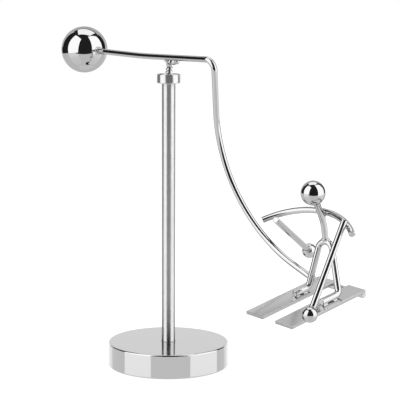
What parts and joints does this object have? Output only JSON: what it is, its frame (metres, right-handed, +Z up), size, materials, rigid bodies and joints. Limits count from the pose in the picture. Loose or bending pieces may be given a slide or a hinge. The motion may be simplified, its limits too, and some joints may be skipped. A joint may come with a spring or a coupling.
{
  "type": "balancing ornament",
  "caption": "Wire skier balanced by a ball weight on a bent arm, which turns, rocks and sways on a point above a round-based post.",
  "frame": {"origin": "centre of the pad's underside, which stands on the table", "axes": "+Z up along the post; +X from the post towards the skier at rest; the skier faces -Y"},
  "size_m": [0.2718, 0.0893, 0.2231],
  "materials": {
    "stand_plate": "polished",
    "rod_plate": "polished",
    "ball_plate": "polished",
    "ski_plate": "polished",
    "hard_steel": "satin",
    "fixing_steel": "satin",
    "foam_pad": "matte"
  },
  "bodies": {
    "stand": {"base_disc": "stand_plate", "base_pad": "foam_pad", "base_screw": "fixing_steel", "base_washer": "fixing_steel", "post": "stand_plate", "top_cap": "stand_plate"},
    "turntable": {"bearing_cup": "hard_steel"},
    "tip": {"pivot_ball": "hard_steel"},
    "balancer": {"pivot_stud": "rod_plate", "pivot_braze": "rod_plate", "balance_arm": "rod_plate", "counterweight_ball": "ball_plate", "ski_right": "ski_plate", "ski_left": "ski_plate", "legs_wire": "rod_plate", "torso_wire": "rod_plate", "head_ball": "ball_plate", "arms_wire": "rod_plate", "pole_right": "rod_plate", "pole_left": "rod_plate", "pole_ball_right": "ball_plate", "pole_ball_left": "ball_plate"}
  },
  "joints": [
    {"name": "spin", "type": "hinge", "parent": "stand", "child": "turntable", "pos_m": [0, 0, 0.19435], "axis": [0, 0, 1], "continuous": true},
    {"name": "rock", "type": "hinge", "parent": "turntable", "child": "tip", "pos_m": [0, 0, 0.19435], "axis": [0, 1, 0], "range_deg": [-18, 12]},
    {"name": "sway", "type": "hinge", "parent": "tip", "child": "balancer", "pos_m": [0, 0, 0.19435], "axis": [1, 0, 0], "range_deg": [-12, 12]}
  ]
}
